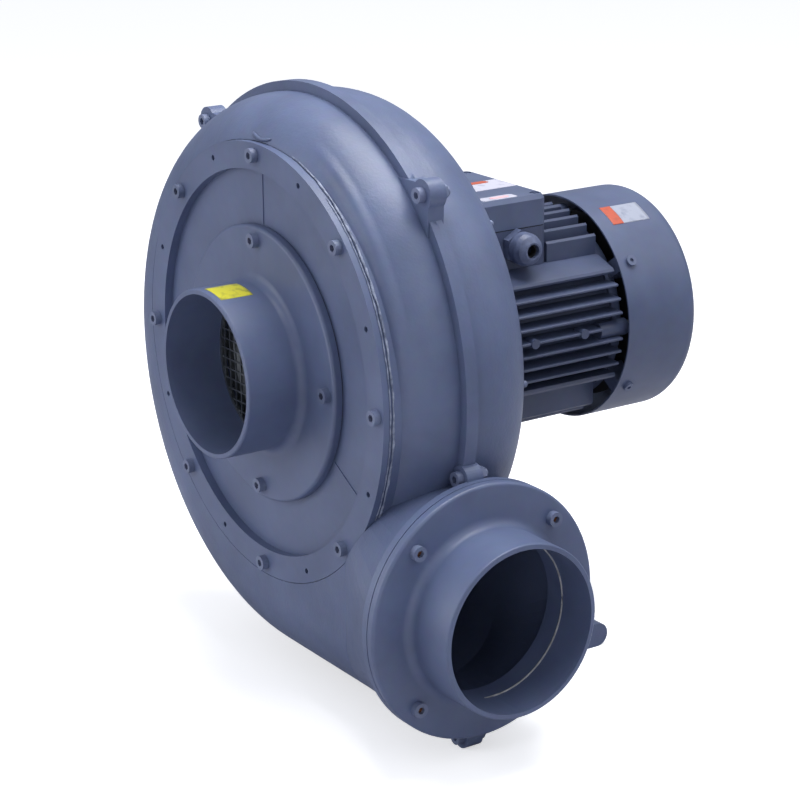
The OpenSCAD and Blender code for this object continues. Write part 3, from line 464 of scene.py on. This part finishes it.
class BLOWER_OT_casing(bpy.types.Operator):
    """Paint the casing, cover, spigot flanges and foot"""
    bl_idname = "blower.casing"
    bl_label = "Casing"

    def execute(self, context):
        colours, sizes = context.scene.blower_colours, context.scene.blower_sizes
        enamel = sprayed_enamel("sprayed_enamel_on_cast_iron", colours.casing_dark, colours.casing_light,
                                sizes.paint_gloss, peel_mm=2.6, casting_mm=24, casting_depth=0.0009,
                                peel_depth=0.0005)
        dress(["front_casing", "rear_casing", "support_foot"], enamel)
        smooth = sprayed_enamel("sprayed_enamel_on_turned_plate", colours.casing_dark, colours.casing_light,
                                sizes.paint_gloss, peel_mm=1.4, casting_mm=40, casting_depth=0.0004)
        dress(["front_cover", "inlet_flange", "outlet_flange"], smooth)
        # A curved ridge that the mould left on the shoulder, over the cover's top screw
        steps, start, swing, outer_end, sag = 14, 90.6, 8.4, 32.2, 3.6
        ridge = [shoulder_point(start - swing * i / steps, outer_end - sag * math.sin(math.pi * i / steps), 0.0004)
                 for i in range(steps + 1)]
        bead_along("casting_ridge", ridge, radius=0.0016, mat=enamel)
        # The swelling lies half-way round the shoulder and reaches as many degrees to each side as it is spread
        shoulder_crest("shoulder_crest", middle=48.5, spread=9.0, height=0.0017, mat=enamel)
        return {"FINISHED"}


class BLOWER_OT_motor(bpy.types.Operator):
    """Paint the motor frame, shields, cowl and terminal box"""
    bl_idname = "blower.motor"
    bl_label = "Motor"

    def execute(self, context):
        colours, sizes = context.scene.blower_colours, context.scene.blower_sizes
        enamel = sprayed_enamel("sprayed_enamel_on_die_casting", colours.motor_dark, colours.motor_light,
                                sizes.paint_gloss, peel_mm=1.2, casting_mm=18, casting_depth=0.0005)
        dress(["drive_end_shield", "rear_end_shield", "terminal_box_base"], enamel)
        self.finned_frame(enamel)
        sheet = sprayed_enamel("sprayed_enamel_on_sheet_steel", colours.sheet_dark, colours.sheet_light,
                               sizes.paint_gloss - 0.03, peel_mm=1.2, casting_mm=60, casting_depth=0.0003)
        dress(["fan_cowl", "terminal_box_cover"], sheet)
        return {"FINISHED"}

    def finned_frame(self, enamel):
        """The frame with the fins at the pitch that the motor shows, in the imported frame's place"""
        bm = bmesh.new()
        pipe(bm, TUBE_R, BORE_R, FRAME_FIRST, FRAME_LAST)
        for side in (-1, 1):
            self.level_fins(bm, side)
            self.upright_fins(bm, side)
            # Two bosses on the middle fin
            for y in (0.226, 0.282):
                place = (side * 0.0975, SHAFT_Y + y, SHAFT_Z + FIN_MIDDLE)
                cylinder(bm, place, "Y", math.pi / 2, radius=0.0045, depth=0.0125, segments=24)
        # Lugs for the four screws of the rear shield
        for angle in (0, 90, 180, 270):
            place = at_shaft(0.091, angle, 0.316)
            cylinder(bm, place, "X", math.pi / 2, radius=0.008, depth=0.022, segments=32)
        frame_piece = new_piece("motor_frame_casting", bm, enamel)
        frame_piece.data.set_sharp_from_angle(angle=SHARP)
        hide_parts("motor_frame")

    def level_fins(self, bm, side):
        """The fins beside the tube, and the ledges over and under them; the upper ledge rises to the box's seat"""
        for i in range(-FINS_EACH_WAY, FINS_EACH_WAY + 1):
            z = FIN_MIDDLE + i * FIN_PITCH
            # The middle one stops before the lug of the rear shield
            shorter = 0 if i else 0.024
            prism(bm, fin(z, math.sqrt(FIN_REACH ** 2 - z ** 2), side), FRAME_FIRST, FRAME_LAST - shorter)
        half, chamfer, root, seat_edge = 0.0023, 0.0015, 0.050, 0.064
        for up, seat in ((1, 0.0638), (-1, 0.0560)):
            z = FIN_MIDDLE + up * (FINS_EACH_WAY + 1) * FIN_PITCH
            tip = math.sqrt(FIN_REACH ** 2 - z ** 2)
            ledge = [(root, z - up * half), (tip - chamfer, z - up * half), (tip, z), (tip - chamfer, z + up * half),
                     (seat_edge, up * seat), (root, up * seat)]
            prism(bm, [(side * x, h) for x, h in ledge], FRAME_FIRST, FRAME_LAST)

    def upright_fins(self, bm, side):
        """The fins above the tube, behind the box, and those below it"""
        point = 0.002
        for x in UPRIGHT_FINS_X:
            top = math.sqrt(UPRIGHT_REACH ** 2 - x ** 2)
            half = (EDGE_FIN_THICK if x == UPRIGHT_FINS_X[-1] else FIN_THICK) / 2
            shape = ((-half, UPRIGHT_ROOT), (-half, top - point), (0, top), (half, top - point), (half, UPRIGHT_ROOT))
            for up, first in ((-1, FRAME_FIRST), (1, BEHIND_BOX)):
                prism(bm, [(side * (x + u), up * v) for u, v in shape], first, FRAME_LAST)


class BLOWER_OT_fasteners(bpy.types.Operator):
    """Finish the screws, nuts and rivets, and rust the sockets of the painted ones"""
    bl_idname = "blower.fasteners"
    bl_label = "Fasteners"

    def execute(self, context):
        painted = sprayed_enamel("enamel_worn_on_steel_screws", "545e7a", "7882a0", 0.45,
                                 peel_mm=0.9, casting_mm=5, casting_depth=0.0004)
        dress(["cover_bolts", "inlet_bolts", "outlet_bolts", "casing_bolts", "casing_nuts", "foot_bolts",
               "cowl_screws", "box_cover_screws"], painted)
        zinc = worked_metal("zinc_plated_steel", "8d8f8c", "b4b5b0", 0.35, 0.6, (1, 1, 1))
        dress(["motor_flange_bolts", "end_shield_screws", "impeller_rivets", "impeller_washer", "impeller_bolt",
               "fan_clip"], zinc)
        rust = rusted_socket("rust_in_screw_sockets", "7a4a2c", "241d1d")
        ring = bmesh.new()
        for i in range(8):
            socket_disc(ring, at_shaft(RING_SCREWS_R, i * 45, -SOCKET_FLOOR), (0, -1, 0))
        for i in range(4):
            socket_disc(ring, at_shaft(INLET_SCREWS_R, i * 90, -INLET_SEAT - SOCKET_FLOOR), (0, -1, 0))
        new_piece("cover_socket_rust", ring, rust, smooth=False)
        outlet = bmesh.new()
        for angle in (45, 135, 225, 315):
            socket_disc(outlet, at_outlet(OUTLET_SCREWS_R, angle, OUTLET_X + SOCKET_FLOOR), (1, 0, 0))
        new_piece("outlet_socket_rust", outlet, rust, smooth=False)
        self.rear_studs(painted)
        return {"FINISHED"}

    def rear_studs(self, painted):
        """The painted tips of a ring of studs in the back wall"""
        tips = bmesh.new()
        casing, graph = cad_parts["rear_casing"], bpy.context.evaluated_depsgraph_get()
        radius, end_radius, sunk, shank, end = 0.0030, 0.0018, 0.0030, 0.0022, 0.0034
        forward, turn = Vector((0, -1, 0)), -math.pi / 2
        for i in range(8):
            # The wall is rounded at its edge, so each stud stands where a ray from behind meets it
            found, place, _, _ = casing.ray_cast(at_shaft(STUDS_R, i * 45, 0.30), forward, depsgraph=graph)
            wall = place.y - SHAFT_Y if found else 0.150
            middle = wall + (shank - sunk) / 2
            cylinder(tips, at_shaft(STUDS_R, i * 45, middle), "X", turn, radius, shank + sunk, 24)
            middle = wall + (shank + end) / 2
            cylinder(tips, at_shaft(STUDS_R, i * 45, middle), "X", turn, radius, end - shank, 24, end_radius)
        new_piece("rear_stud_tips", tips, painted).data.set_sharp_from_angle(angle=SHARP)


class BLOWER_OT_inside(bpy.types.Operator):
    """Finish the impeller, guard, shaft, bearings and windings"""
    bl_idname = "blower.inside"
    bl_label = "Working parts"

    def execute(self, context):
        # Nodes, their metal, its dark and light tone, roughness, grain in millimetres and the way the grain runs
        for nodes, *metal in (
                (("impeller_hub", "impeller_backplate", "impeller_blades", "impeller_shroud"),
                 "cast_aluminium_alloy", "8f9296", "a9abae", 0.5, 1.2, (1, 1, 1)),
                (("inlet_guard", "inlet_cone"),
                 "galvanised_steel", "83888d", "a0a4a8", 0.42, 3.0, (1, 1, 1)),
                (("motor_shaft", "shaft_key"),
                 "ground_carbon_steel", "77787b", "929396", 0.25, 0.5, (1, 30, 1)),
                (("drive_bearing_outer", "drive_bearing_inner", "drive_bearing_balls",
                  "rear_bearing_outer", "rear_bearing_inner", "rear_bearing_balls"),
                 "polished_bearing_steel", "a4a6aa", "bcbdc0", 0.18, 0.4, (1, 20, 1)),
                (("stator_core", "rotor_core"),
                 "stacked_electrical_sheet", "4b4c4e", "646566", 0.55, 0.6, (1, 40, 1)),
                (("stator_windings",),
                 "enamelled_copper_wire", "7d3f1c", "a5622e", 0.35, 1.0, (1, 8, 1)),
                (("terminal_studs",),
                 "turned_brass", "9c7f3c", "c0a058", 0.3, 0.5, (1, 1, 20))):
            dress(nodes, worked_metal(*metal))
        return {"FINISHED"}


class BLOWER_OT_seals(bpy.types.Operator):
    """Finish the gaskets, seals, gland and cooling fan, and squeeze sealant out of the cover's joint"""
    bl_idname = "blower.seals"
    bl_label = "Seals"

    def execute(self, context):
        # Nodes, their material, its dark and light tone, roughness, grain in millimetres and depth of the grain.
        # The enamel was sprayed over the edges of the cover's and the outlet's gasket
        for nodes, *stuff in (
                (("inlet_gasket", "terminal_box_gasket"),
                 "compressed_fibre_sheet", "26282c", "34363b", 0.85, 0.8, 0.0001),
                (("cover_gasket", "outlet_gasket"),
                 "enamelled_fibre_edge", "49526b", "5a6480", 0.6, 0.8, 0.0001),
                (("shaft_seal", "gland_seal"),
                 "nitrile_rubber", "101113", "1a1b1e", 0.7, 0.5, 0.00005),
                (("gland_body", "gland_nut"),
                 "moulded_polyamide", "4b5470", "5e6886", 0.42, 0.6, 0.00004),
                (("cooling_fan", "terminal_board"),
                 "moulded_phenolic", "1c1d20", "2a2b2f", 0.55, 0.6, 0.00005)):
            dress(nodes, moulded(*stuff))
        # Painted-over silicone, uneven where a finger has run along it. Its pale patches are partly the sealant's own
        # pale colour and partly painted glints of light
        bead = moulded("painted_silicone_sealant_with_painted_glints", "5a637c", "98a1b8", 0.42, 2.5, 0.0004)
        size = context.scene.blower_sizes.bead
        squeezed_bead("cover_sealant_outer", RING_R + 0.0009, y=0.0094, angles=(-62, 78), thick=size, seed=7,
                      mat=bead)
        squeezed_bead("cover_sealant_inner", RING_R + 0.0004, y=0.0066, angles=(-30, 58), thick=size * 0.6, seed=11,
                      mat=bead)
        # A pale seam inside the outlet, where the spigot is joined to its flange
        pale = moulded("pale_joint_sealant", "8b8c90", "b0b1b4", 0.6, 1.5, 0.0002)
        steps, start, swing = 48, 62, 160
        seam = [at_outlet(0.0713, start - swing * i / steps, OUTLET_X + 0.0125) for i in range(steps + 1)]
        bead_along("outlet_seam", seam, radius=0.0009, mat=pale)
        return {"FINISHED"}


class BLOWER_OT_labels(bpy.types.Operator):
    """Stick plain films with no print on the inlet spigot, the terminal box and the cowl"""
    bl_idname = "blower.labels"
    bl_label = "Plain labels"

    def execute(self, context):
        colours = context.scene.blower_colours
        yellow = printed_film("yellow_vinyl_film", colours.sticker, "a9a436", 0.35)
        white = printed_film("white_vinyl_film", "c3c3d2", "a6a7b8", 0.34)
        silver = printed_film("silver_polyester_film", "9ea3b3", "868c9e", 0.32)
        orange = printed_film("orange_vinyl_film", "b8553e", "a0503e", 0.4)
        pink = printed_film("pink_vinyl_film", "e8b8c0", "dba6b0", 0.35)
        curved_film("inlet_sticker", INLET_R, (93.5, 71.5), (-0.0500, -0.0185), yellow)
        angles, front = (69, 55.5), 0.3475
        curved_film("cowl_label", COWL_R, angles, (front, 0.3910), silver)
        curved_film("cowl_label_band", COWL_R + SECOND_FILM, angles, (front, 0.3600), orange)
        flat_film("box_label", roof_place(0.003, 0.235), (0.033, 0.064), white)
        flat_film("box_label_band", roof_place(-0.009, 0.228, SECOND_FILM), (0.008, 0.050), orange)
        beside = 0.0510
        flat_film("box_side_label", roof_place(beside, 0.221), (0.0125, 0.038), white)
        flat_film("box_side_label_band", roof_place(beside, 0.223, SECOND_FILM), (0.006, 0.020), pink)
        return {"FINISHED"}


class BLOWER_OT_stage(bpy.types.Operator):
    """Set the camera, soft lamps and a pale floor"""
    bl_idname = "blower.stage"
    bl_label = "Stage"

    def execute(self, context):
        scene = context.scene
        scene.view_settings.view_transform = "Standard"
        # The lens and place follow the photograph: a long lens, right of the inlet and a little above
        cam = bpy.data.cameras.new("camera")
        cam.sensor_width, cam.lens, cam.clip_end = 36.0, 106.2327, 50.0
        eye = bpy.data.objects.new("camera", cam)
        right = Vector((0.559152, 0.829020, -0.008650))
        up = Vector((-0.246085, 0.175923, 0.953149))
        look = Vector((-0.791702, 0.530826, -0.302377))
        turn = Matrix((right, up, -look)).transposed().to_4x4()
        eye.matrix_world = Matrix.Translation((1.720644, SHAFT_Y - 1.005399, SHAFT_Z + 0.596530)) @ turn
        scene.collection.objects.link(eye)
        scene.camera = eye
        self.lamps(scene)
        self.paper(scene)
        self.room(scene)
        return {"FINISHED"}

    def lamps(self, scene):
        """Square lamps turned to the blower: name, place, width and power"""
        target = Vector((0.0, 0.0, 0.28))
        for name, place, size, power in (("lamp_above", (0.10, 0.15, 1.90), 1.2, 33),
                                         ("lamp_right", (1.9, -0.1, 1.4), 1.0, 4.0),
                                         ("lamp_front", (-0.9, -2.0, 0.8), 1.6, 18),
                                         ("lamp_low", (1.7, -1.5, 0.25), 1.2, 6),
                                         ("lamp_back", (1.3, 2.2, 2.0), 1.4, 9)):
            lamp = bpy.data.lights.new(name, "AREA")
            lamp.size, lamp.energy = size, power
            obj = bpy.data.objects.new(name, lamp)
            obj.location = place
            obj.rotation_mode = "QUATERNION"
            obj.rotation_quaternion = (target - obj.location).to_track_quat("-Z", "Y")
            scene.collection.objects.link(obj)

    def paper(self, scene):
        """The floor: the camera sees white paper; what falls back on the object is held down as on a grey bench"""
        floor_mesh = bpy.data.meshes.new("floor")
        bm = bmesh.new()
        bmesh.ops.create_grid(bm, x_segments=1, y_segments=1, size=12.0)
        bm.to_mesh(floor_mesh)
        bm.free()
        floor = bpy.data.objects.new("floor", floor_mesh)
        scene.collection.objects.link(floor)
        mat, tree, _ = new_material("matt_white_paper")
        shade = add(tree, "ShaderNodeBsdfDiffuse", {"Color": linear("f4f4f6")})
        bench = add(tree, "ShaderNodeBsdfDiffuse", {"Color": linear("bcbcc2")})
        glow = add(tree, "ShaderNodeEmission", {"Color": linear("ffffff"), "Strength": 0.55})
        rays = add(tree, "ShaderNodeLightPath")
        both = add(tree, "ShaderNodeAddShader", {0: shade.outputs[0], 1: glow.outputs[0]})
        seen = add(tree, "ShaderNodeMixShader", {0: rays.outputs["Is Camera Ray"], 1: bench.outputs[0],
                                                 2: both.outputs[0]})
        close(tree, seen.outputs[0])
        floor_mesh.materials.append(mat)

    def room(self, scene):
        """The world: white to the camera, and for the light lightest overhead and darker towards the floor"""
        world = bpy.data.worlds.new("studio")
        world.use_nodes = True
        scene.world = world
        tree = world.node_tree
        tree.nodes.clear()
        rays = add(tree, "ShaderNodeLightPath")
        direct = add(tree, "ShaderNodeMath", {0: rays.outputs["Is Camera Ray"],
                                              1: rays.outputs["Is Transmission Ray"]}, operation="MAXIMUM")
        sky = add(tree, "ShaderNodeTexCoord").outputs["Generated"]
        height = add(tree, "ShaderNodeSeparateXYZ", {"Vector": sky}).outputs["Z"]
        level = add(tree, "ShaderNodeMapRange", {"Value": height, "From Min": -0.3, "From Max": 0.9,
                                                 "To Min": 0.22, "To Max": 0.66})
        light = add(tree, "ShaderNodeBackground", {"Color": linear("dfe3ec"), "Strength": level.outputs["Result"]})
        plain = add(tree, "ShaderNodeBackground", {"Color": linear("ffffff"), "Strength": 1.0})
        mixed = add(tree, "ShaderNodeMixShader", {0: direct.outputs[0], 1: light.outputs[0], 2: plain.outputs[0]})
        add(tree, "ShaderNodeOutputWorld", {"Surface": mixed.outputs[0]})


STEPS = (BLOWER_OT_casing, BLOWER_OT_motor, BLOWER_OT_fasteners, BLOWER_OT_inside, BLOWER_OT_seals,
         BLOWER_OT_labels, BLOWER_OT_stage)


class BLOWER_PT_panel(bpy.types.Panel):
    """Sizes, colours and steps of the blower's finishes"""
    bl_idname = "BLOWER_PT_panel"
    bl_label = "Blower"
    bl_space_type = "VIEW_3D"
    bl_region_type = "UI"
    bl_category = "Blower"

    def draw(self, context):
        for group in (context.scene.blower_colours, context.scene.blower_sizes):
            for name in group.__annotations__:
                self.layout.prop(group, name)
        for step in STEPS:
            self.layout.operator(step.bl_idname)


CLASSES = (BlowerColours, BlowerSizes) + STEPS + (BLOWER_PT_panel,)


def register():
    for cls in CLASSES:
        bpy.utils.register_class(cls)
    bpy.types.Scene.blower_colours = bpy.props.PointerProperty(type=BlowerColours)
    bpy.types.Scene.blower_sizes = bpy.props.PointerProperty(type=BlowerSizes)


def unregister():
    del bpy.types.Scene.blower_sizes
    del bpy.types.Scene.blower_colours
    for cls in reversed(CLASSES):
        bpy.utils.unregister_class(cls)


def main():
    register()
    for step in STEPS:
        group, name = step.bl_idname.split(".")
        getattr(getattr(bpy.ops, group), name)()


if __name__ == "__main__":
    main()
